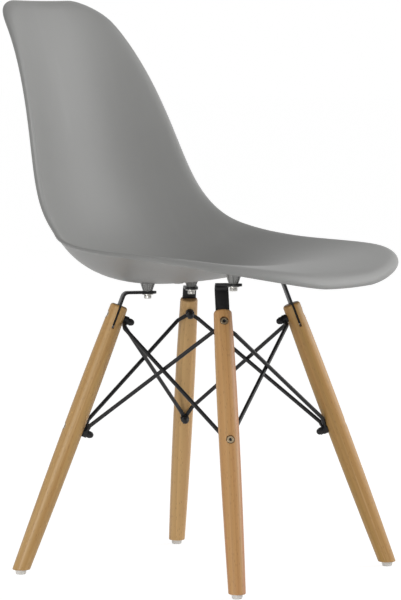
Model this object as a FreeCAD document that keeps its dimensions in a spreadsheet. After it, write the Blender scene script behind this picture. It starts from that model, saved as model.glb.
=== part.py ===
import FreeCAD, Part
import Sketcher
import math
import os

V = FreeCAD.Vector
Rotation = FreeCAD.Rotation
Placement = FreeCAD.Placement

# Driving dimensions, in millimetres and degrees
SIZES = (
    ("base_y", -27.8, "middle of the leg base, front to back, from the origin"),
    ("leg_top_x", 84.2, "top end of a leg, sideways from the middle"),
    ("leg_top_y", 90.95, "top end of a leg, front to back from the middle of the base"),
    ("leg_tilt", 20.8, "lean of a leg from upright"),
    ("leg_plan", 43.8, "direction of that lean, seen from above, from the side-to-side line"),
    ("leg_length", 405.0, "leg along its axis, from the glide to the top end"),
    ("leg_middle_radius", 14.65, "thickest radius of the cigar-shaped leg"),
    ("leg_middle_at", 250.0, "height of that radius along the leg"),
    ("leg_top_radius", 12.75, "radius at the top end"),
    ("leg_foot_radius", 11.9, "radius at the foot"),
    ("leg_top_rounding", 4.0, "rounding of the top end"),
    ("leg_foot_rounding", 1.5, "rounding of the foot"),
    ("slot_depth", 35.0, "saw slot in the top of the leg"),
    ("upper_bolt_drop", 17.7, "upper bolt, down from the top end"),
    ("lower_bolt_drop", 189.5, "lower bolt, down from the top end"),
    ("bolt_radius", 3.0, "shank of the leg bolts and the seat bolts"),
    ("bolt_clearance", 0.3, "play round a bolt in wood, plate or eyelet"),
    ("bolt_head_radius", 5.4, "round head of a leg bolt"),
    ("bolt_head_height", 3.4, "height of that head"),
    ("head_recess", 4.6, "depth of the recess for the head, from the leg's skin"),
    ("head_play", 0.8, "gap round the head in its recess"),
    ("head_rounding", 1.0, "rounding of the head"),
    ("socket_across_flats", 4.0, "hexagon socket in the head"),
    ("socket_depth", 2.2, "depth of the socket"),
    ("seat_flat", 1.0, "depth of the flat under the inner washer"),
    ("flat_play", 0.6, "how far that flat reaches past the washer"),
    ("washer_radius", 5.6, "inner washer"),
    ("washer_thickness", 2.0, "thickness of the inner washer"),
    ("eyelet_radius", 6.0, "flattened end of a brace rod"),
    ("eyelet_thickness", 2.5, "thickness of that end"),
    ("rod_radius", 2.5, "round part of a brace rod"),
    ("flattened_length", 11.5, "bolt to where a brace rod is fully round"),
    ("rod_bend_radius", 6.0, "bend of a brace rod beside its eyelet"),
    ("near_bend_reach", 20.8, "bolt to bend of the rods next to the leg"),
    ("far_bend_reach", 13.6, "bolt to bend of the rods under the nut"),
    ("nut_across_flats", 10.0, "cap nut"),
    ("nut_height", 5.5, "hexagon part of the cap nut"),
    ("nut_dome_radius", 4.7, "dome of the cap nut"),
    ("nut_grip", 7.5, "length of bolt inside the cap nut"),
    ("plate_thickness", 3.5, "flat bar of the leg brackets"),
    ("plate_width", 19.5, "width of that bar"),
    ("tongue_length", 30.0, "part of the bar inside the leg"),
    ("plate_inner_bend", 6.0, "inner bend radius of the bar"),
    ("tab_radius", 9.7, "round end of a tab"),
    ("tab_beyond", 3.0, "centre of that round end, past the hole"),
    ("rear_tab_rise", 19.4, "top face of the rear tabs, above the leg tops"),
    ("front_tab_rise", 39.0, "top face of the front tabs, above the leg tops"),
    ("rear_bolt_x", 53.0, "rear seat bolts, sideways from the middle"),
    ("rear_bolt_y", 64.0, "rear seat bolts, from the middle of the base"),
    ("front_bolt_x", 82.5, "front seat bolts, sideways from the middle"),
    ("front_bolt_y", -108.6, "front seat bolts, from the middle of the base"),
    ("boss_foot_radius", 6.6, "moulded boss under the seat, at its lower end"),
    ("boss_flare", 0.22, "growth of the boss's core per millimetre of height"),
    ("rib_flare", 0.36, "growth of the boss's ribs per millimetre of height"),
    ("rib_thickness", 2.4, "rib on the boss"),
    ("rib_stand", 0.5, "how far the ribs stand out at the boss's lower end"),
    ("insert_radius", 4.0, "threaded insert in the boss"),
    ("insert_length", 9.0, "length of the insert"),
    ("seat_bolt_flats", 10.0, "hexagon head of a seat bolt"),
    ("seat_bolt_head", 4.0, "height of that head"),
    ("washer_play", 0.2, "play round a bolt in a washer"),
    ("flat_washer_radius", 8.2, "washer under the tab"),
    ("flat_washer_thickness", 1.4, "thickness of that washer"),
    ("spring_washer_radius", 5.2, "split washer under it"),
    ("spring_washer_thickness", 1.6, "thickness of the split washer"),
    ("glide_height", 6.5, "plastic glide under the foot"),
    ("glide_top_radius", 8.0, "glide against the wood"),
    ("glide_floor_radius", 6.4, "glide against the floor"),
    ("glide_edge", 0.8, "bevel of the glide's floor edge"),
    ("glide_web", 4.0, "height of the screw's head seat above the floor"),
    ("screw_radius", 1.9, "shank of the glide's screw"),
    ("screw_head_radius", 3.6, "its head"),
    ("screw_head_height", 2.0, "height of that head"),
    ("screw_depth", 12.0, "length of the screw in the wood"),
    ("shell_thickness", 5.0, "moulded shell"),
    ("front_corner", 126.6, "front corners of the seat, seen square on"),
    ("top_corner", 48.3, "top corners of the back"),
)

# Stations of the shell from its front edge to its top edge: y and z of the middle line,
# half width there, rise of the sides above the middle line, the power that gives how late
# the sides rise, and the width and depth of the turned-out lip
STATIONS = (
    ("front_edge", -280.8, 47.0, 173.6, 13.0, 1.95, 20.7, 13.6),
    ("seat_front", -185.2, 61.6, 241.3, 17.8, 2.14, 16.4, 8.1),
    ("seat_middle", -82.1, 46.9, 241.3, 40.2, 2.29, 8.8, 6.6),
    ("seat_low", 15.9, 31.1, 240.3, 64.9, 2.41, 12.7, 4.7),
    ("hip", 96.6, 38.4, 221.8, 77.4, 2.34, 15.1, 4.9),
    ("lower_back", 168.3, 104.3, 199.9, 72.9, 2.24, 16.6, 6.0),
    ("middle_back", 207.2, 220.9, 174.3, 62.1, 2.20, 16.9, 5.9),
    ("upper_back", 234.3, 338.7, 144.6, 41.5, 2.19, 16.9, 5.4),
    ("top_edge", 270.8, 438.1, 110.1, 4.3, 2.20, 16.6, 5.5),
)
STATION_SIZES = (
    ("y", "middle line, front to back"),
    ("z", "middle line, height above the leg tops"),
    ("half", "half width"),
    ("dish", "rise of the sides"),
    ("power", "how late the sides rise"),
    ("lip_width", "width of the turned-out lip"),
    ("lip_depth", "how far the lip turns out"),
)

# A leg is turned this much too long, before its foot is cut level
FOOT_SPARE = 8.0

# More than enough for a cut that comes out on the far side
CUT_SPARE = "30"

# Sketches stand back from a bend, or overlap a neighbour, by this much
OVERLAP = 0.5

LEG_TOP_HEIGHT = "(size.glide_height + size.leg_length * cos(size.leg_tilt))"

LEGS = (
    ("front_right", -1, -1),
    ("front_left", 1, -1),
    ("rear_right", -1, 1),
    ("rear_left", 1, 1),
)

doc = FreeCAD.newDocument("shell_chair")
sheet = doc.addObject("Spreadsheet::Sheet", "size")


def fill_sheet():
    rows = list(SIZES)
    for station in STATIONS:
        for (kind, note), value in zip(STATION_SIZES, station[1:]):
            rows.append((station[0] + "_" + kind, value, note))
    for number, (alias, value, note) in enumerate(rows, start=1):
        sheet.set("A%d" % number, note)
        sheet.set("B%d" % number, str(value))
        sheet.setAlias("B%d" % number, alias)
    doc.recompute()


def size(alias):
    return float(getattr(sheet, alias))


def value_of(expression):
    return float(sheet.evalExpression(expression))


# Sketch and feature helpers

def make_body(label):
    body = doc.addObject("PartDesign::Body", label)
    body.Label = label
    return body


def make_sketch(body, name, plane, offset=None):
    sketch = body.newObject("Sketcher::SketchObject", name)
    origin_planes = {feature.Role: feature for feature in body.Origin.OriginFeatures}
    sketch.AttachmentSupport = (origin_planes[plane], "")
    sketch.MapMode = "FlatFace"
    if offset is not None:
        sketch.AttachmentOffset = offset
    return sketch


def bind(sketch, kind, references, expression):
    index = sketch.addConstraint(Sketcher.Constraint(kind, *references, value_of(expression)))
    sketch.setExpression("Constraints[%d]" % index, expression)


def pin_point(sketch, edge, end, x_expression, y_expression):
    bind(sketch, "DistanceX", (-1, 1, edge, end), x_expression)
    bind(sketch, "DistanceY", (-1, 1, edge, end), y_expression)


def add_polygon(sketch, corners):
    points = [V(value_of(x), value_of(y), 0) for x, y in corners]
    first = sketch.GeometryCount
    count = len(corners)
    for i in range(count):
        sketch.addGeometry(Part.LineSegment(points[i], points[(i + 1) % count]))
    for i in range(count):
        after = first + (i + 1) % count
        sketch.addConstraint(Sketcher.Constraint("Coincident", first + i, 2, after, 1))
    for i, (x, y) in enumerate(corners):
        pin_point(sketch, first + i, 1, x, y)


def add_circle(sketch, x, y, radius):
    centre = V(value_of(x), value_of(y), 0)
    index = sketch.addGeometry(Part.Circle(centre, V(0, 0, 1), value_of(radius)))
    pin_point(sketch, index, 3, x, y)
    bind(sketch, "Radius", (index,), radius)


def add_hexagon(sketch, across_flats):
    corners = []
    for i in range(6):
        turn = 60 * i + 30
        corners.append(("%s / sqrt(3) * cos(%d)" % (across_flats, turn),
                        "%s / sqrt(3) * sin(%d)" % (across_flats, turn)))
    add_polygon(sketch, corners)


def pad(body, name, sketch, length, symmetric=False, reverse=False):
    feature = body.newObject("PartDesign::Pad", name)
    feature.Profile = sketch
    feature.setExpression("Length", length)
    feature.SideType = "Symmetric" if symmetric else "One side"
    feature.Reversed = reverse
    doc.recompute()
    return feature


def pocket(body, name, sketch, length=None, symmetric=False, reverse=False):
    before = body.Shape.Volume
    feature = body.newObject("PartDesign::Pocket", name)
    feature.Profile = sketch
    if length is None:
        feature.Type = "ThroughAll"
    else:
        feature.setExpression("Length", length)
    feature.SideType = "Symmetric" if symmetric else "One side"
    feature.Reversed = reverse
    doc.recompute()
    if body.Shape.Volume > before - 0.01:
        raise ValueError("%s of %s cuts nothing" % (name, body.Label))
    return feature


def revolve(body, name, sketch):
    feature = body.newObject("PartDesign::Revolution", name)
    feature.Profile = sketch
    feature.ReferenceAxis = (sketch, ["V_Axis"])
    feature.Angle = 360
    doc.recompute()
    return feature


def round_edges(body, name, base, radius, chosen):
    names = []
    for i, edge in enumerate(base.Shape.Edges, start=1):
        if chosen(edge):
            names.append("Edge%d" % i)
    feature = body.newObject("PartDesign::Fillet", name)
    feature.Base = (base, names)
    feature.setExpression("Radius", radius)
    doc.recompute()
    return feature


# Places on the chair

def inward_turn(side, end):
    plan = math.radians(size("leg_plan"))
    return Rotation(V(0, 0, 1), math.degrees(math.atan2(-end * math.sin(plan), -side * math.cos(plan))))


def leg_top_placement(side, end):
    top = V(side * size("leg_top_x"), end * size("leg_top_y") + size("base_y"), value_of(LEG_TOP_HEIGHT))
    return Placement(top, inward_turn(side, end))


def leg_placement(side, end):
    top = leg_top_placement(side, end)
    axis = top.multiply(Placement(V(0, 0, 0), Rotation(V(0, 1, 0), size("leg_tilt"))))
    return Placement(axis.multVec(V(0, 0, -size("leg_length"))), axis.Rotation)


def seat_bolt_point(side, end):
    place = "rear" if end > 0 else "front"
    height = value_of(LEG_TOP_HEIGHT) + size(place + "_tab_rise")
    return V(side * size(place + "_bolt_x"), size(place + "_bolt_y") + size("base_y"), height)


def leg_radius(along):
    middle = size("leg_middle_at")
    if along > middle:
        reach, end_radius = size("leg_length") - size("leg_top_rounding") - middle, size("leg_top_radius")
    else:
        reach, end_radius = middle + FOOT_SPARE, size("leg_foot_radius")
    drop = size("leg_middle_radius") - end_radius
    return size("leg_middle_radius") - drop * ((along - middle) / reach) ** 2


def bolt_heights():
    return (size("leg_length") - size("upper_bolt_drop"), size("leg_length") - size("lower_bolt_drop"))


def bulge(tip, middle):
    """Parabola from a leg's end to its thickest point, where it runs along the axis."""
    halfway = V(middle.x, (tip.y + middle.y) / 2, 0)
    curve = Part.BSplineCurve()
    curve.buildFromPolesMultsKnots([tip, halfway, middle], [3, 3], [0.0, 1.0], False, 2)
    return curve


# Wooden leg: its axis is local Z, from the glide up, and local X points to the middle

def build_leg(name, side, end):
    body = make_body("leg_" + name)
    profile = make_sketch(body, "leg_profile", "XZ_Plane")
    length, middle = size("leg_length"), size("leg_middle_at")
    wide, top, low = size("leg_middle_radius"), size("leg_top_radius"), size("leg_foot_radius")
    rounding = size("leg_top_rounding")
    shoulder = V(top, length - rounding, 0)
    slant = rounding * math.sqrt(0.5)
    profile.addGeometry(Part.LineSegment(V(0, -FOOT_SPARE, 0), V(0, length, 0)))
    profile.addGeometry(Part.LineSegment(V(0, length, 0), V(top - rounding, length, 0)))
    profile.addGeometry(Part.Arc(V(top - rounding, length, 0),
                                 V(top - rounding + slant, length - rounding + slant, 0), shoulder))
    profile.addGeometry(bulge(shoulder, V(wide, middle, 0)))
    profile.addGeometry(bulge(V(low, -FOOT_SPARE, 0), V(wide, middle, 0)))
    profile.addGeometry(Part.LineSegment(V(low, -FOOT_SPARE, 0), V(0, -FOOT_SPARE, 0)))
    joins = ((0, 2, 1, 1), (1, 2, 2, 2), (2, 1, 3, 1), (3, 2, 4, 2), (4, 1, 5, 1), (5, 2, 0, 1))
    for first, first_end, second, second_end in joins:
        profile.addConstraint(Sketcher.Constraint("Coincident", first, first_end, second, second_end))
    pin_point(profile, 0, 1, "0", "-%g" % FOOT_SPARE)
    pin_point(profile, 0, 2, "0", "size.leg_length")
    pin_point(profile, 1, 2, "size.leg_top_radius - size.leg_top_rounding", "size.leg_length")
    pin_point(profile, 2, 1, "size.leg_top_radius", "size.leg_length - size.leg_top_rounding")
    pin_point(profile, 3, 2, "size.leg_middle_radius", "size.leg_middle_at")
    pin_point(profile, 5, 1, "size.leg_foot_radius", "-%g" % FOOT_SPARE)
    bind(profile, "Radius", (2,), "size.leg_top_rounding")
    revolve(body, "leg_turning", profile)

    # The foot is cut level with the floor
    level = make_sketch(body, "level_cut", "XZ_Plane")
    add_polygon(level, (("-" + CUT_SPARE, "-%s * tan(size.leg_tilt)" % CUT_SPARE),
                        (CUT_SPARE, "%s * tan(size.leg_tilt)" % CUT_SPARE),
                        (CUT_SPARE, "-2 * " + CUT_SPARE),
                        ("-" + CUT_SPARE, "-2 * " + CUT_SPARE)))
    cut = pocket(body, "level_foot", level, symmetric=True)
    round_edges(body, "leg_foot_edge", cut, "size.leg_foot_rounding",
                lambda edge: edge.BoundBox.ZMax < low and edge.Length > 2 * low)

    for place, height, drop in zip(("upper", "lower"), bolt_heights(), ("upper_bolt_drop", "lower_bolt_drop")):
        hole = make_sketch(body, place + "_hole_outline", "YZ_Plane")
        add_circle(hole, "0", "size.leg_length - size." + drop, "size.bolt_radius + size.bolt_clearance")
        pocket(body, place + "_hole", hole, "2 * " + CUT_SPARE, symmetric=True)
        skin = leg_radius(height)
        recess = make_sketch(body, place + "_recess_outline", "YZ_Plane",
                             Placement(V(0, 0, size("head_recess") - skin), Rotation()))
        add_circle(recess, "0", "size.leg_length - size." + drop, "size.bolt_head_radius + size.head_play")
        pocket(body, place + "_recess", recess, CUT_SPARE)
        flat = make_sketch(body, place + "_flat_outline", "YZ_Plane",
                           Placement(V(0, 0, skin - size("seat_flat")), Rotation()))
        add_circle(flat, "0", "size.leg_length - size." + drop, "size.washer_radius + size.flat_play")
        pocket(body, place + "_flat", flat, CUT_SPARE, reverse=True)

    slot = make_sketch(body, "slot_outline", "XZ_Plane")
    add_polygon(slot, (("-size.plate_thickness / 2", "size.leg_length - size.slot_depth"),
                       ("size.plate_thickness / 2", "size.leg_length - size.slot_depth"),
                       ("size.plate_thickness / 2", "size.leg_length + %g" % OVERLAP),
                       ("-size.plate_thickness / 2", "size.leg_length + %g" % OVERLAP)))
    pocket(body, "saw_slot", slot, symmetric=True)

    pilot = make_sketch(body, "pilot_outline", "XY_Plane",
                        Placement(V(0, 0, 0), Rotation(V(0, 1, 0), -size("leg_tilt"))))
    add_circle(pilot, "0", "0", "size.screw_radius")
    pocket(body, "screw_pilot", pilot, "size.screw_depth + 1", reverse=True)
    body.Placement = leg_placement(side, end)
    return body


# Leg bracket: origin at the middle of the leg's top end, local X to the middle of the chair.
# The rear tabs turn inward from the plate, the front tabs turn outward

def build_bracket(name, side, end):
    body = make_body("bracket_" + name)
    frame = leg_top_placement(side, end)
    hole = frame.inverse().multVec(seat_bolt_point(side, end))
    way = 1 if end > 0 else -1
    tab_top = "size.rear_tab_rise" if end > 0 else "size.front_tab_rise"
    tab_under = "(%s - size.plate_thickness)" % tab_top
    half = "(%g * size.plate_thickness)" % (way / 2)
    along = "size.tongue_length"
    outer_run = "(%s - %s * sin(size.leg_tilt)) / cos(size.leg_tilt)" % (tab_top, half)
    inner_run = "(%s + %s * sin(size.leg_tilt)) / cos(size.leg_tilt)" % (tab_under, half)
    outer_corner = "-%s * cos(size.leg_tilt) + %s * sin(size.leg_tilt)" % (half, outer_run)
    inner_corner = "%s * cos(size.leg_tilt) + %s * sin(size.leg_tilt)" % (half, inner_run)
    bend_reach = ("(size.plate_inner_bend + size.plate_thickness) * tan(45 - %g * size.leg_tilt)"
                  % (way / 2))
    tab_start = "%s + %d * (%s + %g)" % (outer_corner, way, bend_reach, OVERLAP / 2)
    stub_end = "%s + %d * (%s + %g)" % (outer_corner, way, bend_reach, OVERLAP)
    profile = make_sketch(body, "bar_profile", "XZ_Plane")
    add_polygon(profile, (
        ("-%s * sin(size.leg_tilt) - %s * cos(size.leg_tilt)" % (along, half),
         "-%s * cos(size.leg_tilt) + %s * sin(size.leg_tilt)" % (along, half)),
        (outer_corner, tab_top),
        (stub_end, tab_top),
        (stub_end, tab_under),
        (inner_corner, tab_under),
        ("-%s * sin(size.leg_tilt) + %s * cos(size.leg_tilt)" % (along, half),
         "-%s * cos(size.leg_tilt) - %s * sin(size.leg_tilt)" % (along, half))))
    bar = pad(body, "bar", profile, "size.plate_width", symmetric=True)

    def crosswise_at(x_expression, z_expression):
        place = V(value_of(x_expression), 0, value_of(z_expression))
        return lambda edge: edge.CenterOfMass.distanceToPoint(place) < 0.1

    inside = round_edges(body, "inner_bend", bar, "size.plate_inner_bend",
                         crosswise_at(inner_corner, tab_under))
    round_edges(body, "outer_bend", inside, "size.plate_inner_bend + size.plate_thickness",
                crosswise_at(outer_corner, tab_top))

    # The tab runs from the bend to a round end past the seat bolt
    start_x, top_z = value_of(tab_start), value_of(tab_top)
    run = V(hole.x - start_x, hole.y, 0)
    run.normalize()
    radius = size("tab_radius")
    centre = V(hole.x, hole.y, 0) + run * size("tab_beyond")
    tab = make_sketch(body, "tab_outline", "XY_Plane", Placement(V(0, 0, top_z), Rotation()))
    beside = way * size("plate_width") / 2
    right_start, left_start = V(start_x, -beside, 0), V(start_x, beside, 0)
    right_touch = tangent_point(right_start, centre, radius, -1)
    left_touch = tangent_point(left_start, centre, radius, 1)
    tab.addGeometry(Part.LineSegment(left_start, right_start))
    tab.addGeometry(Part.LineSegment(right_start, right_touch))
    tab.addGeometry(Part.Arc(right_touch, centre + run * radius, left_touch))
    tab.addGeometry(Part.LineSegment(left_touch, left_start))
    for first, second in ((0, 1), (3, 0)):
        tab.addConstraint(Sketcher.Constraint("Coincident", first, 2, second, 1))
    arc_first = 1 if tab.Geometry[2].StartPoint.distanceToPoint(right_touch) < 0.1 else 2
    tab.addConstraint(Sketcher.Constraint("Tangent", 1, 2, 2, arc_first))
    tab.addConstraint(Sketcher.Constraint("Tangent", 3, 1, 2, 3 - arc_first))
    pin_point(tab, 0, 2, tab_start, "%g * size.plate_width" % (-way / 2))
    pin_point(tab, 0, 1, tab_start, "%g * size.plate_width" % (way / 2))
    pin_point(tab, 2, 3, "%.4f" % centre.x, "%.4f" % centre.y)
    bind(tab, "Radius", (2,), "size.tab_radius")
    pad(body, "tab", tab, "size.plate_thickness", reverse=True)

    seat_hole = make_sketch(body, "seat_hole_outline", "XY_Plane", Placement(V(0, 0, top_z), Rotation()))
    add_circle(seat_hole, "%.4f" % hole.x, "%.4f" % hole.y, "size.bolt_radius + size.bolt_clearance")
    pocket(body, "seat_hole", seat_hole, "size.plate_thickness + %g" % OVERLAP)

    tongue_hole = make_sketch(body, "tongue_hole_outline", "YZ_Plane",
                              Placement(V(0, 0, 0), Rotation(V(1, 0, 0), size("leg_tilt"))))
    add_circle(tongue_hole, "0", "-size.upper_bolt_drop", "size.bolt_radius + size.bolt_clearance")
    pocket(body, "tongue_hole", tongue_hole, "4 * size.plate_thickness", symmetric=True)
    body.Placement = frame
    return body


def tangent_point(start, centre, radius, side):
    away = start - centre
    half_angle = math.acos(radius / away.Length)
    direction = V(away.x, away.y, 0)
    direction.normalize()
    turned = Rotation(V(0, 0, 1), -side * math.degrees(half_angle)).multVec(direction)
    return centre + turned * radius


# Fasteners, made once each: local Z points the way the fastener goes in

def build_leg_bolt(label, shank):
    body = make_body(label)
    head = make_sketch(body, "head_outline", "XY_Plane")
    add_circle(head, "0", "0", "size.bolt_head_radius")
    block = pad(body, "head", head, "size.bolt_head_height", reverse=True)
    low = -size("bolt_head_height")
    round_edges(body, "head_edge", block, "size.head_rounding",
                lambda edge: abs(edge.BoundBox.ZMax - low) < 0.01)
    socket = make_sketch(body, "socket_outline", "XY_Plane", Placement(V(0, 0, low), Rotation()))
    add_hexagon(socket, "size.socket_across_flats")
    pocket(body, "socket", socket, "size.socket_depth", reverse=True)
    stem = make_sketch(body, "shank_outline", "XY_Plane")
    add_circle(stem, "0", "0", "size.bolt_radius")
    pad(body, "shank", stem, "%.3f" % shank)
    return body


def build_cap_nut():
    body = make_body("cap_nut")
    outline = make_sketch(body, "hexagon", "XY_Plane")
    add_hexagon(outline, "size.nut_across_flats")
    pad(body, "hexagon_part", outline, "size.nut_height")
    dome = make_sketch(body, "dome_profile", "XZ_Plane")
    radius, height = size("nut_dome_radius"), size("nut_height")
    low = V(0, height - OVERLAP, 0)
    side = V(radius, height - OVERLAP, 0)
    shoulder = V(radius, height, 0)
    crown = V(0, height + radius, 0)
    slant = radius * math.sqrt(0.5)
    dome.addGeometry(Part.LineSegment(crown, low))
    dome.addGeometry(Part.LineSegment(low, side))
    dome.addGeometry(Part.LineSegment(side, shoulder))
    dome.addGeometry(Part.Arc(shoulder, V(slant, height + slant, 0), crown))
    for first, first_end, second, second_end in ((0, 2, 1, 1), (1, 2, 2, 1), (2, 2, 3, 1), (3, 2, 0, 1)):
        dome.addConstraint(Sketcher.Constraint("Coincident", first, first_end, second, second_end))
    pin_point(dome, 0, 1, "0", "size.nut_height + size.nut_dome_radius")
    pin_point(dome, 0, 2, "0", "size.nut_height - %g" % OVERLAP)
    pin_point(dome, 1, 2, "size.nut_dome_radius", "size.nut_height - %g" % OVERLAP)
    pin_point(dome, 2, 2, "size.nut_dome_radius", "size.nut_height")
    bind(dome, "Radius", (3,), "size.nut_dome_radius")
    revolve(body, "dome", dome)
    bore = make_sketch(body, "bore_outline", "XY_Plane")
    add_circle(bore, "0", "0", "size.bolt_radius")
    pocket(body, "bore", bore, "size.nut_grip + %g" % OVERLAP, reverse=True)
    return body


def build_seat_bolt():
    body = make_body("seat_bolt")
    head = make_sketch(body, "head_outline", "XY_Plane")
    add_hexagon(head, "size.seat_bolt_flats")
    pad(body, "head", head, "size.seat_bolt_head", reverse=True)
    crown = make_sketch(body, "crown_profile", "XZ_Plane")
    add_polygon(crown, (("size.seat_bolt_flats * 0.48", "-size.seat_bolt_head"),
                        ("size.seat_bolt_flats", "-size.seat_bolt_head"),
                        ("size.seat_bolt_flats", "-size.seat_bolt_head / 4")))
    before = body.Shape.Volume
    groove = body.newObject("PartDesign::Groove", "crown")
    groove.Profile = crown
    groove.ReferenceAxis = (crown, ["V_Axis"])
    groove.Angle = 360
    doc.recompute()
    if body.Shape.Volume > before - 0.01:
        raise ValueError("the crown cuts nothing")
    stem = make_sketch(body, "shank_outline", "XY_Plane")
    add_circle(stem, "0", "0", "size.bolt_radius")
    pad(body, "shank", stem, "size.flat_washer_thickness + size.spring_washer_thickness"
        " + size.plate_thickness + size.insert_length - 1")
    return body


def build_ring(label, outer, inner, thickness):
    body = make_body(label)
    outline = make_sketch(body, "ring_outline", "XY_Plane")
    add_circle(outline, "0", "0", outer)
    add_circle(outline, "0", "0", inner)
    pad(body, "ring", outline, thickness)
    return body


def build_spring_washer():
    body = build_ring("spring_washer", "size.spring_washer_radius", "size.bolt_radius + size.washer_play",
                      "size.spring_washer_thickness")
    split = make_sketch(body, "split_outline", "YZ_Plane")
    gap = "size.spring_washer_thickness / 2"
    add_polygon(split, (("-" + gap, "0"), ("0", "0"),
                        (gap, "size.spring_washer_thickness"), ("0", "size.spring_washer_thickness")))
    pocket(body, "split", split, CUT_SPARE, reverse=True)
    return body


def build_glide_screw():
    body = make_body("glide_screw")
    head = make_sketch(body, "head_outline", "XY_Plane")
    add_circle(head, "0", "0", "size.screw_head_radius")
    block = pad(body, "head", head, "size.screw_head_height", reverse=True)
    low = -size("screw_head_height")
    round_edges(body, "head_edge", block, "size.screw_head_height * 0.45",
                lambda edge: abs(edge.BoundBox.ZMax - low) < 0.01)
    cross = make_sketch(body, "drive_outline", "XY_Plane", Placement(V(0, 0, low), Rotation()))
    arm, half = "size.screw_head_radius * 0.6", "size.screw_head_radius * 0.125"
    add_polygon(cross, (("-" + arm, "-" + half), ("-" + half, "-" + half), ("-" + half, "-" + arm),
                        (half, "-" + arm), (half, "-" + half), (arm, "-" + half),
                        (arm, half), (half, half), (half, arm),
                        ("-" + half, arm), ("-" + half, half), ("-" + arm, half)))
    pocket(body, "drive", cross, "size.screw_head_height * 0.55", reverse=True)
    stem = make_sketch(body, "shank_outline", "XY_Plane")
    add_circle(stem, "0", "0", "size.screw_radius")
    pad(body, "shank", stem, "size.glide_height - size.glide_web + size.screw_depth")
    return body


def build_glide(name, side, end):
    body = make_body("glide_" + name)
    profile = make_sketch(body, "glide_profile", "XZ_Plane")
    add_polygon(profile, (("size.screw_radius + size.washer_play", "size.glide_height"),
                          ("size.screw_radius + size.washer_play", "size.glide_web"),
                          ("size.screw_head_radius + 2 * size.washer_play", "size.glide_web"),
                          ("size.screw_head_radius + 2 * size.washer_play", "0"),
                          ("size.glide_floor_radius", "0"),
                          ("size.glide_floor_radius + size.glide_edge", "size.glide_edge"),
                          ("size.glide_top_radius", "size.glide_height - size.glide_edge"),
                          ("size.glide_top_radius", "size.glide_height")))
    revolve(body, "glide_turning", profile)
    foot = leg_placement(side, end).Base
    body.Placement = Placement(V(foot.x, foot.y, 0), Rotation())
    return body


# Groups of equal fasteners

def add_group(label, master, places):
    group = doc.addObject("Part::Feature", label)
    group.Label = label
    solids = []
    for place in places:
        solid = master.Shape.copy()
        solid.Placement = place.multiply(solid.Placement)
        solids.append(solid)
    group.Shape = Part.makeCompound(solids)
    return group


def bolt_axis_places(height, across):
    places = []
    for _, side, end in LEGS:
        lying = Placement(V(across, 0, height), Rotation(V(0, 1, 0), 90))
        places.append(leg_placement(side, end).multiply(lying))
    return places


def stack_start(height):
    return leg_radius(height) - size("seat_flat")


# Brace rods: each runs from the upper bolt of one leg to the lower bolt of a neighbour

# Keeps the flattened part inside its eyelet's faces
ROD_PLAY = 0.2


def eyelet_frame(side, end, height, layer):
    across = stack_start(height) + size("washer_thickness") + (layer + 0.5) * size("eyelet_thickness")
    leg = leg_placement(side, end)
    centre = leg.multVec(V(across, 0, height))
    axis = leg.Rotation.multVec(V(1, 0, 0))
    return centre, axis


def flattening_wedges(centre, axis, outward):
    """Solids that press the round rod flat towards its eyelet, one on each side."""
    crosswise = axis.cross(outward)
    near, far = size("eyelet_radius") - ROD_PLAY, size("flattened_length")
    flat, full = size("eyelet_thickness") / 2 - ROD_PLAY / 4, size("rod_radius") + ROD_PLAY
    outside = 2 * full
    wedges = []
    for side in (-1, 1):
        profile = ((0, flat), (near, flat), (far, full), (far, outside), (0, outside), (0, flat))
        points = []
        for run, rise in profile:
            points.append(centre + outward * run + axis * (side * rise) - crosswise * outside)
        face = Part.Face(Part.makePolygon(points))
        wedges.append(face.extrude(crosswise * (2 * outside)))
    return wedges


def build_rod(label, upper, lower, layer):
    heights = bolt_heights()
    start, start_axis = eyelet_frame(upper[1], upper[2], heights[0], layer)
    finish, finish_axis = eyelet_frame(lower[1], lower[2], heights[1], layer)
    reach = size("far_bend_reach") if layer else size("near_bend_reach")
    span = finish - start
    start_out = span - start_axis * span.dot(start_axis)
    finish_out = finish_axis * span.dot(finish_axis) - span
    start_out.normalize()
    finish_out.normalize()
    inside = size("bolt_radius") - 1
    corners = (start + start_out * inside, start + start_out * reach,
               finish + finish_out * reach, finish + finish_out * inside)
    path = rounded_path(corners, size("rod_bend_radius"))
    ring = Part.makeCircle(size("rod_radius"), corners[0], start_out)
    shape = path.makePipeShell([Part.Wire(ring)], True, True)
    thickness = size("eyelet_thickness")
    hole_radius = size("bolt_radius") + size("bolt_clearance")
    ends = ((start, start_axis, start_out), (finish, finish_axis, finish_out))
    for centre, axis, outward in ends:
        shape = shape.cut(flattening_wedges(centre, axis, outward))
        shape = shape.fuse(Part.makeCylinder(size("eyelet_radius"), thickness,
                                             centre - axis * (thickness / 2), axis))
        shape = shape.cut(Part.makeCylinder(hole_radius, 2 * thickness, centre - axis * thickness, axis))
    rod = doc.addObject("Part::Feature", label)
    rod.Label = label
    rod.Shape = shape.removeSplitter()
    return rod


def rounded_path(corners, radius):
    edges = []
    here = corners[0]
    for i in range(1, len(corners) - 1):
        before = corners[i] - corners[i - 1]
        after = corners[i + 1] - corners[i]
        turn = before.getAngle(after)
        cut = radius * math.tan(turn / 2)
        before.normalize()
        after.normalize()
        arc_start = corners[i] - before * cut
        arc_end = corners[i] + after * cut
        inward = after - before
        inward.normalize()
        middle = corners[i] + inward * (radius / math.cos(turn / 2) - radius)
        edges.append(Part.makeLine(here, arc_start))
        edges.append(Part.Arc(arc_start, middle, arc_end).toShape())
        here = arc_end
    edges.append(Part.makeLine(here, corners[-1]))
    return Part.Wire(edges)


# Moulded shell

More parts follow.
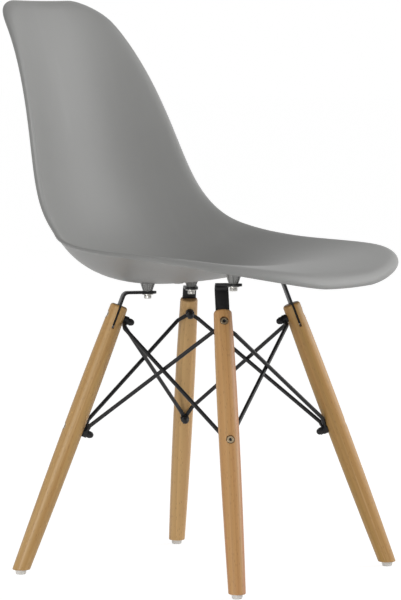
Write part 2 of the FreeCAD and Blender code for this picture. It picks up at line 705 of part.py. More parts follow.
class ShellForm:
    """Middle surface of the shell, over distance along its middle line and distance across."""

    def __init__(self):
        names = [station[0] for station in STATIONS]
        leg_tops = value_of(LEG_TOP_HEIGHT)
        line = [V(0, size(name + "_y"), leg_tops + size(name + "_z")) for name in names]
        marks = [0.0]
        for before, after in zip(line, line[1:]):
            marks.append(marks[-1] + before.distanceToPoint(after))
        self.length = marks[-1]
        self.line = curve_through(line, marks)
        self.section = curve_through(
            [V(size(name + "_half"), size(name + "_dish"), size(name + "_power")) for name in names], marks)
        self.lip = curve_through(
            [V(size(name + "_lip_width"), size(name + "_lip_depth"), 0) for name in names], marks)

    def half_width(self, along):
        half = self.section.value(along).x
        for distance, corner in self.ends(along):
            if distance < corner:
                half += math.sqrt(max(0.0, corner ** 2 - (corner - distance) ** 2)) - corner
        return half

    def ends(self, along):
        return ((along, size("front_corner")), (self.length - along, size("top_corner")))

    def rim_distance(self, along, across):
        side = self.section.value(along).x - abs(across)
        nearest = side
        for distance, corner in self.ends(along):
            if side < corner and distance < corner:
                gap = corner - math.hypot(corner - side, corner - distance)
            else:
                gap = min(side, distance)
            nearest = min(nearest, gap)
        return max(0.0, nearest)

    def frame(self, along):
        forward = self.line.tangent(along)[0]
        return self.line.value(along), V(0, -forward.z, forward.y)

    def plain_point(self, along, across):
        middle, rise = self.frame(along)
        section = self.section.value(along)
        lift = section.y * (abs(across) / section.x) ** section.z
        return middle + V(across, 0, 0) + rise * lift

    def normal(self, along, across):
        step = 0.5
        ahead = self.plain_point(min(along + step, self.length), across)
        behind = self.plain_point(max(along - step, 0.0), across)
        aside = self.plain_point(along, across + step) - self.plain_point(along, across - step)
        normal = aside.cross(ahead - behind)
        normal.normalize()
        return normal

    def point(self, along, share, face):
        across = self.half_width(along) * share
        rim = self.rim_distance(along, across)
        lip = self.lip.value(along)
        turned_out = max(0.0, 1 - rim / lip.x)
        half = size("shell_thickness") / 2
        inside = min(rim / half, 1.0)
        height = half * math.sqrt(1 - (1 - inside) ** 2)
        _, rise = self.frame(along)
        place = self.plain_point(along, across) - rise * (lip.y * turned_out ** 2)
        return place + self.normal(along, across) * (face * height)


def curve_through(points, marks):
    curve = Part.BSplineCurve()
    curve.interpolate(Points=points, Parameters=marks)
    return curve


def crowded_marks(count):
    """Marks from 0 to 1 that crowd towards both ends."""
    marks = []
    for i in range(count + 1):
        even = i / count
        marks.append(even - 0.97 * math.sin(2 * math.pi * even) / (2 * math.pi))
    return marks


def shell_surface(form, face, along_marks, across_marks):
    poles = []
    for mark in along_marks:
        poles.append([form.point(mark * form.length, 2 * share - 1, face) for share in across_marks])
    knots = []
    multiplicities = []
    for count in (len(along_marks), len(across_marks)):
        spans = count - 3
        knots.append([float(i) for i in range(spans + 1)])
        multiplicities.append([4] + [1] * (spans - 1) + [4])
    surface = Part.BSplineSurface()
    surface.buildFromPolesMultsKnots(poles, multiplicities[0], multiplicities[1],
                                     knots[0], knots[1], False, False, 3, 3)
    return surface


def boss_shape(foot):
    """A cone with crossing ribs, made taller than it need be and cut off inside the wall."""
    height = 40.0
    low = size("boss_foot_radius")
    core = low - size("rib_stand")
    shape = Part.makeCone(core, core + height * size("boss_flare"), height, foot)
    thick = size("rib_thickness")
    for i in range(4):
        profile = Part.makePolygon([V(-low, 0, 0), V(low, 0, 0),
                                    V(low + height * size("rib_flare"), 0, height),
                                    V(-low - height * size("rib_flare"), 0, height), V(-low, 0, 0)])
        rib = Part.Face(profile).extrude(V(0, thick, 0))
        rib.translate(V(0, -thick / 2, 0))
        rib.rotate(V(0, 0, 0), V(0, 0, 1), 45 * i + 22.5)
        rib.translate(foot)
        shape = shape.fuse(rib)
    return shape


def build_seat_shell():
    form = ShellForm()
    along_marks = crowded_marks(64)
    across_marks = crowded_marks(40)
    upper = shell_surface(form, 1, along_marks, across_marks).toShape()
    lower = shell_surface(form, -1, along_marks, across_marks).toShape()
    skin = Part.makeShell([upper, lower])
    skin.sewShape()
    solid = Part.makeSolid(skin)
    if solid.Volume < 0:
        solid.reverse()

    # Everything above the middle of the seat's wall, to end the bosses inside the wall
    seat_marks = [mark for mark in along_marks if 0.05 < mark < 0.47]
    above = shell_surface(form, 0, seat_marks, across_marks).toShape().extrude(V(0, 0, 80))
    for _, side, end in LEGS:
        foot = seat_bolt_point(side, end)
        solid = solid.fuse(boss_shape(foot).cut(above))
        solid = solid.cut(Part.makeCylinder(size("insert_radius"), size("insert_length") + 1, foot))
    shell = doc.addObject("Part::Feature", "seat_shell")
    shell.Label = "seat_shell"
    shell.Shape = solid
    return shell


def build_everything():
    nodes = [build_seat_shell()]
    for name, side, end in LEGS:
        nodes.append(build_leg(name, side, end))
        nodes.append(build_bracket(name, side, end))
        nodes.append(build_glide(name, side, end))

    upper_height, lower_height = bolt_heights()
    stack = size("washer_thickness") + 2 * size("eyelet_thickness")
    nut = build_cap_nut()
    washer = build_ring("bolt_washer", "size.washer_radius", "size.bolt_radius + size.washer_play",
                        "size.washer_thickness")
    nut_places = []
    washer_places = []
    for label, height in (("leg_upper_bolts", upper_height), ("leg_lower_bolts", lower_height)):
        head_seat = size("head_recess") - leg_radius(height)
        nut_seat = stack_start(height) + stack
        bolt = build_leg_bolt(label[:-1], nut_seat - head_seat + size("nut_grip"))
        nodes.append(add_group(label, bolt, bolt_axis_places(height, head_seat)))
        nut_places += bolt_axis_places(height, nut_seat)
        washer_places += bolt_axis_places(height, stack_start(height))
    nodes.append(add_group("cap_nuts", nut, nut_places))
    nodes.append(add_group("bolt_washers", washer, washer_places))

    under_tab = []
    under_washer = []
    under_spring = []
    insert_places = []
    screw_places = []
    for _, side, end in LEGS:
        point = seat_bolt_point(side, end)
        insert_places.append(Placement(point, Rotation()))
        tab_bottom = point - V(0, 0, size("plate_thickness"))
        flat = tab_bottom - V(0, 0, size("flat_washer_thickness"))
        spring = flat - V(0, 0, size("spring_washer_thickness"))
        under_tab.append(Placement(flat, Rotation()))
        under_washer.append(Placement(spring, Rotation(V(0, 0, 1), 40 * side)))
        under_spring.append(Placement(spring, Rotation(V(0, 0, 1), 12 * end)))
        foot = leg_placement(side, end).Base
        screw_seat = V(foot.x, foot.y, size("glide_web"))
        screw_places.append(Placement(screw_seat, Rotation(V(0, 0, 1), 20 * side)))
    insert = build_ring("seat_insert", "size.insert_radius", "size.bolt_radius", "size.insert_length")
    flat_washer = build_ring("flat_washer", "size.flat_washer_radius", "size.bolt_radius + size.washer_play",
                             "size.flat_washer_thickness")
    nodes.append(add_group("seat_inserts", insert, insert_places))
    nodes.append(add_group("seat_flat_washers", flat_washer, under_tab))
    nodes.append(add_group("seat_spring_washers", build_spring_washer(), under_washer))
    nodes.append(add_group("seat_bolts", build_seat_bolt(), under_spring))
    nodes.append(add_group("glide_screws", build_glide_screw(), screw_places))

    # Two rods on each of the four sides, one under the other where they share a bolt
    around = (LEGS[0], LEGS[1], LEGS[3], LEGS[2])
    for i in range(4):
        here, there = around[i], around[(i + 1) % 4]
        nodes.append(build_rod("rod_%s_to_%s" % (here[0], there[0]), here, there, 0))
        nodes.append(build_rod("rod_%s_to_%s" % (there[0], here[0]), there, here, 1))
    return nodes


def check_and_write(nodes):
    doc.recompute()
    for item in doc.Objects:
        if "Invalid" in item.State or "Error" in item.State:
            raise ValueError("%s failed: %s" % (item.Label, item.State))
    os.makedirs("parts", exist_ok=True)
    whole = FreeCAD.BoundBox()
    for node in nodes:
        if node.Shape.isNull() or not node.Shape.isValid():
            raise ValueError("%s has no valid shape" % node.Label)
        node.Shape.exportStep("parts/%s.step" % node.Label)
        whole.add(node.Shape.BoundBox)
        print("%-32s %2d solids %12.1f mm3" % (node.Label, len(node.Shape.Solids), node.Shape.Volume))
    print("box", whole)


fill_sheet()
check_and_write(build_everything())
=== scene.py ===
# %% [markdown]
# # A moulded shell chair on four turned legs
# This lesson dresses a finished construction model. The model comes in as a fixed frame, in
# metres, with the chair facing -Y, +X to the sitter's left and +Z up. Nothing of it is moved.
# Each step below takes one piece or one finish, says what it is on a real chair, names a few
# ways to make it, and then makes it in one of them.

# %% Open the frame
import math

import bmesh
import bpy
from mathutils import Euler, Matrix, Vector


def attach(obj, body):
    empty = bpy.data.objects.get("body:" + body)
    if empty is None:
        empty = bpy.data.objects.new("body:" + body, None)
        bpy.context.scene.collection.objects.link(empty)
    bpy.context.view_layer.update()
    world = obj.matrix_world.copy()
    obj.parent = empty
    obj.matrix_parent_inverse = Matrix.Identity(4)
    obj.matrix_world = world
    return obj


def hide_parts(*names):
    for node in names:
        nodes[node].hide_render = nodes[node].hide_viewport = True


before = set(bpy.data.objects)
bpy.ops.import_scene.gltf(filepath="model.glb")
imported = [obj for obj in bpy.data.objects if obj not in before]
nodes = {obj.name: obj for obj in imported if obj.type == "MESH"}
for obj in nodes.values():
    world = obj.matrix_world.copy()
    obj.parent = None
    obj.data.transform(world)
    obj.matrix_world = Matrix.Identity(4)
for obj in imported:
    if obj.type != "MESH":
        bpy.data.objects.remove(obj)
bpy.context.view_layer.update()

# %% [markdown]
# ## Finishes as sums
# A material's nodes can be laid out by hand, or every node and link can be made in code one by
# one. Both hide what is really a short sum. Here a `Wire` stands for what comes out of a node,
# and its operators add the Math nodes, so that a pattern reads as arithmetic. The reflected forms
# let a plain number stand first, as in `0.4 + 0.1 * cloud`.

# %% A wire and its operators
class Wire:
    """What comes out of a node. Sums on it add Math nodes to its finish."""

    def __init__(self, finish, socket):
        self.finish = finish
        self.socket = socket

    def __add__(self, other):
        return self.finish.maths("ADD", self, other)

    def __mul__(self, other):
        return self.finish.maths("MULTIPLY", self, other)

    __radd__ = __add__
    __rmul__ = __mul__

# %% [markdown]
# A `Sheet` is the tree that the wires run in. Every node on it comes from one method, which takes
# the node's settings first and then the values or wires of its sockets. The few nodes that the
# finishes use again and again have a short name of their own.

# %% A sheet of nodes
class Sheet:
    """A tree of shader nodes, filled in by sums and by named nodes."""

    def __init__(self, tree):
        self.tree = tree

    def feed(self, socket, value):
        if isinstance(value, Wire):
            self.tree.links.new(value.socket, socket)
        elif socket.type == "RGBA" and not hasattr(value, "__len__"):
            socket.default_value = (value, value, value, 1)
        elif socket.type == "RGBA":
            socket.default_value = (*value, 1)
        else:
            socket.default_value = value

    def node(self, kind, settings=None, out=0, **inputs):
        """Adds a node: its settings first, then its sockets, by name or by number as i0, i1."""
        made = self.tree.nodes.new(kind)
        for name, value in (settings or {}).items():
            setattr(made, name, value)
        for name, value in inputs.items():
            if name[0] == "i" and name[1:].isdigit():
                key = int(name[1:])
            else:
                key = name
            self.feed(made.inputs[key], value)
        return Wire(self, made.outputs[out]) if made.outputs else None

    def maths(self, operation, first, second):
        return self.node("ShaderNodeMath", {"operation": operation}, i0=first, i1=second)

    def ramp(self, wire, low, high, start=0.0, end=1.0):
        """A smooth step of a wire, from start at low to end at high."""
        return self.node("ShaderNodeMapRange", {"interpolation_type": "SMOOTHSTEP"},
                         i0=wire, i1=low, i2=high, i3=start, i4=end)

    def noise(self, place, scale, detail=2.0, roughness=0.5):
        return self.node("ShaderNodeTexNoise", {"normalize": True}, Vector=place, Scale=scale,
                         Detail=detail, Roughness=roughness)

    def stretched(self, place, scale):
        return self.node("ShaderNodeMapping", {"vector_type": "POINT"}, Vector=place, Scale=scale)

    def blend(self, share, first, second):
        """A colour part of the way from the first to the second."""
        return self.node("ShaderNodeMix", {"data_type": "RGBA"}, out=2,
                         i0=share, i6=first, i7=second)

    def bump(self, height, depth):
        """A relief of so many metres where the height wire is 1."""
        return self.node("ShaderNodeBump", Strength=1.0, Distance=depth, Height=height)

    def seen_directly(self):
        """1 for the camera, for reflections and for what shows through, 0 for the room's light."""
        kinds = [self.node("ShaderNodeLightPath", out=kind)
                 for kind in ("Is Camera Ray", "Is Glossy Ray", "Is Transmission Ray")]
        return self.maths("MINIMUM", sum(kinds[1:], kinds[0]), 1.0)

# %% [markdown]
# A `Finish` is one material on such a sheet. It opens with the Principled shader and with the
# place in space from which every pattern below is worked out.

# %% A finish holds one material
class Finish(Sheet):
    """One material. Its Principled shader takes plain numbers and wires by its sockets' names."""

    def __init__(self, name, **constants):
        self.material = bpy.data.materials.new(name)
        self.material.use_nodes = True
        super().__init__(self.material.node_tree)
        self.shader = self.tree.nodes["Principled BSDF"]
        self.set(**constants)
        self.place = self.node("ShaderNodeTexCoord", out="Object")

    def set(self, **values):
        for name, value in values.items():
            title = name.replace("_", " ").title().replace("Ior", "IOR")
            self.feed(self.shader.inputs[title], value)

# %% [markdown]
# ## Moulded shell
# The shell is polypropylene, moulded in one shot against a finely spark-eroded steel mould. It
# is never a dead flat grey: the melt leaves faint clouds and fainter flow lines that run along the
# seat and up the back, the skin carries a fine matt grain, and its sheen is broad and soft.
# A flat colour with a gloss value would look like clay, and a scanned texture would have to be
# laid over the double curve, so the pattern is worked out in space from sums of noise.

# %% Grey polypropylene
def shell_plastic():
    finish = Finish("shell_plastic", specular_ior_level=0.42)
    cloud = finish.noise(finish.place, 9.0, detail=3.0)
    flow = finish.noise(finish.stretched(finish.place, (26, 5, 5)), 1.0, detail=4.0, roughness=0.55)
    grain = finish.noise(finish.place, 1400.0, detail=2.0, roughness=0.6)
    pores = finish.noise(finish.place, 420.0, detail=1.0)
    tint = finish.blend(cloud, (0.262, 0.262, 0.255), (0.286, 0.286, 0.279))
    colour = finish.blend(finish.ramp(flow, 0.5, 0.8, 0.0, 0.35), tint, (0.305, 0.305, 0.299))
    height = 0.7 * grain + 0.3 * pores
    finish.set(base_color=colour, roughness=0.40 + 0.10 * cloud + 0.06 * pores,
               normal=finish.bump(height, 0.00008))
    return finish.material

# %% [markdown]
# ## Beech legs
# A turned leg is cut from a plank whose growth rings are far wider than the leg, so the rings
# cross it as almost flat sheets and show as long stripes. Beech is told by its flecks: short
# dark dashes that run with the grain. Each leg comes from another board, so one is pinker and
# the next more golden, and the cut end at the top drinks the lacquer and turns dark. A veneer
# picture would smear over the round of the leg, while a pattern in space is cut by the leg just
# as the lathe cuts the board. It is laid out along each leg's own axis, so the first cell says
# where a leg stands and how it leans, in the construction model's own numbers.

# %% Where a leg stands and leans
FOOT_OUT = 0.188
FOOT_BACK = 0.1905
BASE_Y = -0.02775
GLIDE_HEIGHT = 0.0065
LEG_LENGTH = 0.405
TILT = math.radians(20.8)
TURN_IN_PLAN = math.radians(43.8)
# Each corner's side, +1 for the sitter's left, and end, +1 for the back
CORNERS = {"front_right": (-1, -1), "front_left": (1, -1),
           "rear_right": (-1, 1), "rear_left": (1, 1)}


def leg_frame(corner):
    """A leg's foot, and the turn that takes +Z up the leg and +X in over the chair."""
    side, end = CORNERS[corner]
    foot = (side * FOOT_OUT, end * FOOT_BACK + BASE_Y, GLIDE_HEIGHT)
    inward = math.atan2(-end * math.sin(TURN_IN_PLAN), -side * math.cos(TURN_IN_PLAN))
    return foot, (0.0, TILT, inward)

# %% [markdown]
# Four patterns make the wood: broad bands and finer streaks that run far along the leg, saw-shaped
# rings, and a fibre that only roughens it. The flecks are the middles of long thin cells. The last
# two millimetres at the top are end grain.

# %% Beech, one board for each leg
# Each board's early and late wood, and the turn that picks its place in the tree. The rear left
# board is also lighter than its wood: painted light that lifts the seat's shade off that leg.
BOARD_TONES_AND_PAINTED_LIGHT = {
    "front_right": ((0.530, 0.235, 0.092), (0.550, 0.298, 0.105), 1.7),
    "front_left": ((0.450, 0.262, 0.070), (0.520, 0.290, 0.090), 3.4),
    "rear_right": ((0.490, 0.280, 0.088), (0.545, 0.335, 0.122), 5.1),
    # Lighter than the other boards, as painted light against the seat's shade.
    "rear_left": ((0.620, 0.370, 0.150), (0.680, 0.430, 0.180), 6.8),
}
PITH_AWAY = 0.07
BOARD_APART = 0.31
END_GRAIN = (0.0022, 0.0002)


def beech(corner):
    early, late, turn = BOARD_TONES_AND_PAINTED_LIGHT[corner]
    finish = Finish("beech_" + corner, coat_weight=0.22, coat_roughness=0.35,
                    specular_ior_level=0.4)
    foot, lean = leg_frame(corner)
    along = finish.node("ShaderNodeMapping", {"vector_type": "TEXTURE"}, Vector=finish.place,
                        Location=foot, Rotation=lean)
    height = finish.node("ShaderNodeSeparateXYZ", out="Z", Vector=along)
    pith = (PITH_AWAY * math.cos(turn), PITH_AWAY * math.sin(turn), BOARD_APART * turn)
    board = finish.node("ShaderNodeVectorMath", {"operation": "ADD"}, i0=along, i1=pith)
    bands = finish.noise(finish.stretched(board, (75, 75, 1.3)), 1.0, detail=2.0)
    streak = finish.noise(finish.stretched(board, (190, 190, 3.4)), 1.0, detail=4.0, roughness=0.6)
    rings = finish.node("ShaderNodeTexWave",
                        {"wave_type": "RINGS", "rings_direction": "Z", "wave_profile": "SAW"},
                        Vector=finish.stretched(board, (1, 1, 0.03)), Scale=52.0,
                        Distortion=2.6, Detail=2.0, i4=1.2)
    fibre = finish.noise(finish.stretched(board, (1500, 1500, 30)), 1.0, detail=3.0, roughness=0.7)
    spots = finish.node("ShaderNodeTexVoronoi", {"feature": "F1"},
                        Vector=finish.stretched(board, (520, 520, 90)), Scale=1.0)
    wood = finish.blend(finish.ramp(bands, 0.36, 0.64), early, late)
    ringed = finish.blend(0.34 * rings, wood, (0.36, 0.170, 0.050))
    streaks = finish.ramp(streak, 0.50, 0.74, 0.0, 0.55)
    streaked = finish.blend(streaks, ringed, (0.66, 0.430, 0.190))
    flecks = finish.ramp(spots, 0.26, 0.10, 0.0, 0.5)
    flecked = finish.blend(flecks, streaked, (0.24, 0.105, 0.035))
    end_low, end_high = (LEG_LENGTH - drop for drop in END_GRAIN)
    end_grain = finish.ramp(height, end_low, end_high, 0.0, 0.6)
    colour = finish.blend(end_grain, flecked, (0.185, 0.085, 0.032))
    finish.set(base_color=colour, roughness=0.40 + 0.18 * fibre,
               normal=finish.bump(fibre, 0.00007))
    return finish.material

# %% [markdown]
# ## Steel and small parts
# Brackets and brace rods are powder-coated black, which leaves a faint orange peel. A flat black
# would hide their roundness, so a fine relief and a roughness that drifts break up the shine.

# %% Black powder coat
def black_coat():
    finish = Finish("black_coat", specular_ior_level=0.28)
    peel = finish.noise(finish.place, 900.0, detail=1.0)
    tone = finish.noise(finish.place, 60.0, detail=3.0)
    finish.set(base_color=finish.blend(tone, (0.006, 0.006, 0.007), (0.013, 0.013, 0.014)),
               roughness=0.36 + 0.16 * tone, normal=finish.bump(peel, 0.00008))
    return finish.material

# %% [markdown]
# The bolts are zinc plated: bright, clouded, and stained in small dull spots where the plate has
# gone blind. The leg bolts are zinc made darker and warmer in colour, a painted reflection of the
# beech around them, and the inserts in the bosses are brass, so one function makes all three from
# two tones. The glides are milky nylon that lets a little light in.

# %% Zinc plate, brass and nylon
def plated(name, light, dark):
    finish = Finish(name, metallic=1.0)
    tone = finish.noise(finish.place, 160.0, detail=4.0)
    stain = finish.noise(finish.place, 620.0, detail=3.0, roughness=0.6)
    fine = finish.noise(finish.place, 2500.0, detail=2.0)
    metal = finish.blend(tone, light, dark)
    stained = finish.blend(finish.ramp(stain, 0.52, 0.70, 0.0, 0.5), metal, (0.12, 0.10, 0.08))
    finish.set(base_color=stained, roughness=0.22 + 0.24 * tone,
               normal=finish.bump(fine, 0.00003))
    return finish.material


def nylon():
    finish = Finish("nylon", subsurface_weight=0.35, subsurface_radius=(0.004, 0.004, 0.0035),
                    roughness=0.38)
    cloud = finish.noise(finish.place, 220.0, detail=2.0)
    finish.set(base_color=finish.blend(cloud, (0.72, 0.71, 0.68), (0.80, 0.79, 0.76)))
    return finish.material

# %% [markdown]
# ## Edges that catch the light
# No made part has a perfectly sharp edge: punched plate is tumbled, bolts are headed in a die,
# nylon is moulded with a radius. The edges could be rounded in the construction model, or faked
# with a bevel shader. Here each part is copied, its flat faces are joined again and its sharp
# edges are cut back with a real bevel, so that the highlight runs along them.

# %% A copy with softened edges
SAME_PLACE = 0.00001
FLAT_WITHIN = math.radians(0.8)
SHARPER_THAN = math.radians(35.0)
SMOOTH_BELOW = math.radians(40.0)


def piece_from(form, name, material):
    mesh = bpy.data.meshes.new(name)
    form.to_mesh(mesh)
    form.free()
    mesh.shade_smooth()
    mesh.set_sharp_from_angle(angle=SMOOTH_BELOW)
    mesh.materials.append(material)
    piece = bpy.data.objects.new(name, mesh)
    bpy.context.scene.collection.objects.link(piece)
    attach(piece, "root")
    return piece


def joined_form(node):
    """A node's mesh in the chair's place, with the corners of its faces joined."""
    source = nodes[node]
    form = bmesh.new()
    form.from_mesh(source.data)
    form.transform(source.matrix_world)
    bmesh.ops.remove_doubles(form, verts=form.verts, dist=SAME_PLACE)
    return form


def softened(node, width, material):
    """A copy of a node with its sharp edges cut back by the width, in the node's stead."""
    form = joined_form(node)
    bmesh.ops.dissolve_limit(form, angle_limit=FLAT_WITHIN, verts=form.verts, edges=form.edges)
    edges = [edge for edge in form.edges
             if len(edge.link_faces) == 2 and edge.calc_face_angle() > SHARPER_THAN]
    bmesh.ops.bevel(form, geom=edges, offset=width, offset_type="OFFSET", segments=2,
                    profile=0.5, affect="EDGES", clamp_overlap=True, material=-1)
    piece = piece_from(form, node + "_soft", material)
    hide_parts(node)
    return piece

# %% [markdown]
# ### Painted shade in the sockets
# The hexagon sockets of the leg bolts are deep and sit in shade, and that shade is painted here. A
# dark picture could be laid on the head, but the socket is a real hollow here, so its own faces
# take the black finish as painted shade. They are the ones that lie wholly beside a bolt's axis,
# on the outer side of a leg, where the leg's own +X is negative.

# %% Faces in a socket
BOLT_DROPS = (0.0177, 0.1895)
SOCKET_REACH = 0.0026
SOCKET_OUTER, SOCKET_INNER = -0.02, -0.006


def paint_socket_shade(piece, material):
    heights = [LEG_LENGTH - drop for drop in BOLT_DROPS]
    legs = []
    for corner in CORNERS:
        foot, lean = leg_frame(corner)
        legs.append((Matrix.Translation(foot) @ Euler(lean).to_matrix().to_4x4()).inverted())
    # The socket faces take the black finish: painted shade, not a dark material of the bolt.
    piece.data.materials.append(material)
    count = 0
    for face in piece.data.polygons:
        corners = [piece.data.vertices[index].co for index in face.vertices]
        for leg in legs:
            places = [leg @ corner for corner in corners]
            if not all(SOCKET_OUTER < place.x < SOCKET_INNER for place in places):
                continue
            for height in heights:
                off_axis = max(math.hypot(place.y, place.z - height) for place in places)
                if off_axis < SOCKET_REACH:
                    face.material_index = 1
                    count += 1
    return count

# %% [markdown]
# ### Coated rods
# A rod is plain wire, bent and pressed flat at its ends, then powder coated. The thick baked coat
# rounds it off and makes it look heavier than its wire. A finish alone can't add width, so each
# rod's surface is moved outward along its own slope by the thickness of the coat.

# %% Coated rods
ROD_COAT = 0.0004


def coated(node, material):
    """A copy of a node that is thicker by the coat all round, in the node's stead."""
    form = joined_form(node)
    form.normal_update()
    for vertex in form.verts:
        vertex.co += vertex.normal * ROD_COAT
    piece = piece_from(form, node + "_coated", material)
    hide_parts(node)
    return piece

# %% [markdown]
# ### Gate mark
# The plastic enters the mould through one gate under the middle of the seat. When the sprue is
# snapped off it leaves a shallow round land with a torn nub in it. It could be a bump in the
# finish, but it stands out far enough to be felt, so it is turned as a small solid and laid on
# the underside, along the wall's own slope there.

# %% Spun gate mark
GATE_PLACE = (0.0, 0.02)
# From the nub's top, over the land and its raised ring, down into the wall: radius and height
GATE_PROFILE = ((0.0, 0.0013), (0.0011, 0.0012), (0.0015, 0.0005), (0.0042, 0.0004),
                (0.0050, 0.0009), (0.0062, 0.0009), (0.0068, 0.0002), (0.0068, -0.0010),
                (0.0, -0.0010))


def gate_mark(place, material):
    below = Vector((*place, 0.1))
    hit, point, slope, _ = nodes["seat_shell"].ray_cast(below, Vector((0, 0, 1)))
    form = bmesh.new()
    points = [form.verts.new((radius, 0.0, height)) for radius, height in GATE_PROFILE]
    edges = [form.edges.new(pair) for pair in zip(points, points[1:])]
    bmesh.ops.spin(form, geom=points + edges, cent=(0, 0, 0), axis=(0, 0, 1), angle=2 * math.pi,
                   steps=32, use_merge=True)
    bmesh.ops.remove_doubles(form, verts=form.verts, dist=SAME_PLACE)
    bmesh.ops.recalc_face_normals(form, faces=form.faces)
    form.transform(Matrix.Translation(point) @ slope.to_track_quat("Z", "Y").to_matrix().to_4x4())
    piece = piece_from(form, "gate_mark", material)
    print("gate mark on the underside:", hit, [round(v, 4) for v in point])

# %% [markdown]
# ## Dressing
# Big smooth pieces keep their construction mesh and only take a finish. Pieces with corners get a
# softened copy, wider where the real edge is blunter: punched plate most, small screws least.

# %% Dress the nodes
def wear(name, material):
    mesh = nodes[name].data
    mesh.materials.clear()
    mesh.materials.append(material)


plastic = shell_plastic()
wear("seat_shell", plastic)
gate_mark(GATE_PLACE, plastic)
for corner in CORNERS:
    wear("leg_" + corner, beech(corner))
black = black_coat()
zinc = plated("zinc_plate", (0.56, 0.55, 0.52), (0.34, 0.33, 0.31))
# The leg bolts' darker, warmer tone is a painted reflection of the beech they sit in.
zinc_with_painted_wood_reflection = plated("zinc_with_painted_wood_reflection", (0.42, 0.33, 0.21), (0.26, 0.20, 0.13))
brass = plated("brass", (0.62, 0.44, 0.19), (0.50, 0.34, 0.13))
clouded = nylon()
for node in nodes:
    if node.startswith("rod_"):
        coated(node, black)
    elif node.startswith("bracket_"):
        softened(node, 0.0007, black)
    elif node.startswith("glide_") and node != "glide_screws":
        softened(node, 0.0004, clouded)
for node, width in (("cap_nuts", 0.0004), ("bolt_washers", 0.0003)):
    softened(node, width, black)
for node in ("leg_upper_bolts", "leg_lower_bolts"):
    bolts = softened(node, 0.0003, zinc_with_painted_wood_reflection)
    # The socket faces of the leg bolts turn black as painted shade.
    print(paint_socket_shade(bolts, black), "faces in the sockets of", node)
for node, width in (("seat_bolts", 0.0004), ("seat_flat_washers", 0.0003),
                    ("seat_spring_washers", 0.0003), ("glide_screws", 0.0002)):
    softened(node, width, zinc)
wear("seat_inserts", brass)
print(sum(1 for node in nodes.values() if node.hide_render), "nodes have a dressed copy")

# %% [markdown]
# ## Studio
# A product is photographed on a white sweep under wide soft lamps. The lamps stay at a level at
# which a colour comes out as it is written, and the white of the background is painted on the
# sweep for the camera and for reflections only, so it adds no soft light to the chair. From below
# the sweep is clear, so that the underside can be looked at.

# %% Floor
FLOOR_HALF = 30.0
FLOOR_GLOW = 1.47
FLOOR_SHARE = 0.6


def make_floor():
    form = bmesh.new()
    bmesh.ops.create_grid(form, x_segments=1, y_segments=1, size=FLOOR_HALF)
    mesh = bpy.data.meshes.new("floor")
    form.to_mesh(mesh)
    form.free()
    floor = bpy.data.objects.new("floor", mesh)
    bpy.context.scene.collection.objects.link(floor)
    finish = Finish("floor_paint", base_color=(0.80, 0.80, 0.80), roughness=0.9,
                    specular_ior_level=0.0)
    white = finish.node("ShaderNodeEmission", Color=(1, 1, 1), Strength=FLOOR_GLOW)
    mixed = finish.node("ShaderNodeMixShader", i0=finish.seen_directly() * FLOOR_SHARE,
                        i1=Wire(finish, finish.shader.outputs[0]), i2=white)
    below = finish.node("ShaderNodeNewGeometry", out="Backfacing")
    clear = finish.node("ShaderNodeBsdfTransparent", Color=(1, 1, 1))
    whole = finish.node("ShaderNodeMixShader", i0=below, i1=mixed, i2=clear)
    finish.feed(finish.tree.nodes["Material Output"].inputs["Surface"], whole)
    mesh.materials.append(finish.material)


make_floor()

# %% [markdown]
# Most of the light comes from the room itself: pale walls all round, and a dimmer ceiling, which
# leaves the hollow of the seat darker than its front edge. A plain white world would light both
# alike. The camera and the reflections still get plain white.

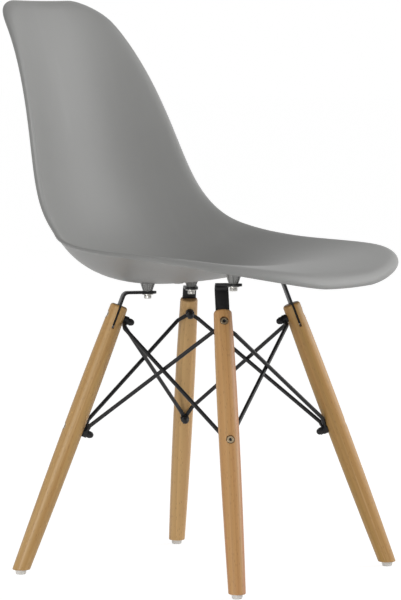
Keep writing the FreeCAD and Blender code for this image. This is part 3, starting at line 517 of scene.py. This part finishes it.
# %% Room
def make_world(walls, ceiling):
    world = bpy.data.worlds.new("studio")
    bpy.context.scene.world = world
    world.use_nodes = True
    room = Sheet(world.node_tree)
    room.tree.nodes.clear()
    way = room.node("ShaderNodeTexCoord", out="Generated")
    height = room.node("ShaderNodeSeparateXYZ", out="Z", Vector=way)
    wall, top, white = (room.node("ShaderNodeBackground", Color=(1, 1, 1), Strength=level)
                        for level in (walls, ceiling, 1.0))
    lit = room.node("ShaderNodeMixShader", i0=room.ramp(height, 0.1, 0.9), i1=wall, i2=top)
    whole = room.node("ShaderNodeMixShader", i0=room.seen_directly(), i1=lit, i2=white)
    room.node("ShaderNodeOutputWorld", Surface=whole)


make_world(walls=0.62, ceiling=0.26)

# %% [markdown]
# Two square soft lamps shape the chair. The key stands in front, to the sitter's left, and rounds
# the shell and the legs. The fill is low on the sitter's right and opens the near side.

# %% Lamps
AIM = Vector((0.0, -0.022, 0.42))


def direction(azimuth, elevation):
    """The way out from the chair: azimuth 0 is its front, 90 the sitter's left."""
    a, e = math.radians(azimuth), math.radians(elevation)
    return Vector((math.sin(a) * math.cos(e), -math.cos(a) * math.cos(e), math.sin(e)))


def add_lamp(name, azimuth, elevation, distance, width, level):
    """A square soft lamp that brings the given share of full light to what faces it."""
    lamp = bpy.data.lights.new(name, "AREA")
    lamp.shape = "SQUARE"
    lamp.size = width
    lamp.energy = level * math.pi ** 2 * distance ** 2
    holder = bpy.data.objects.new(name, lamp)
    towards = direction(azimuth, elevation)
    holder.location = AIM + towards * distance
    holder.rotation_euler = towards.to_track_quat("Z", "Y").to_euler()
    bpy.context.scene.collection.objects.link(holder)


add_lamp("key", azimuth=48.0, elevation=22.0, distance=3.4, width=2.0, level=0.56)
add_lamp("fill", azimuth=-85.0, elevation=-2.0, distance=3.6, width=1.0, level=0.44)

# %% [markdown]
# ## Camera
# A long lens stands five metres off, about as high as the top of the back, in front of the chair
# and to the sitter's right. It was fitted to the feet and the leg tops of the photographed chair,
# because a camera set by eye would make every other size drift.

# %% Camera
def make_camera(azimuth, elevation, distance, aim, lens):
    data = bpy.data.cameras.new("camera")
    data.lens = lens
    data.sensor_width = 36.0
    data.clip_end = 100.0
    camera = bpy.data.objects.new("camera", data)
    towards = direction(azimuth, elevation)
    camera.location = Vector(aim) + towards * distance
    camera.rotation_euler = towards.to_track_quat("Z", "Y").to_euler()
    bpy.context.scene.collection.objects.link(camera)
    bpy.context.scene.camera = camera


make_camera(azimuth=-53.895, elevation=4.329, distance=5.1558, aim=(0.0, -0.019, 0.39083),
            lens=214.97)
bpy.context.scene.view_settings.view_transform = "Standard"
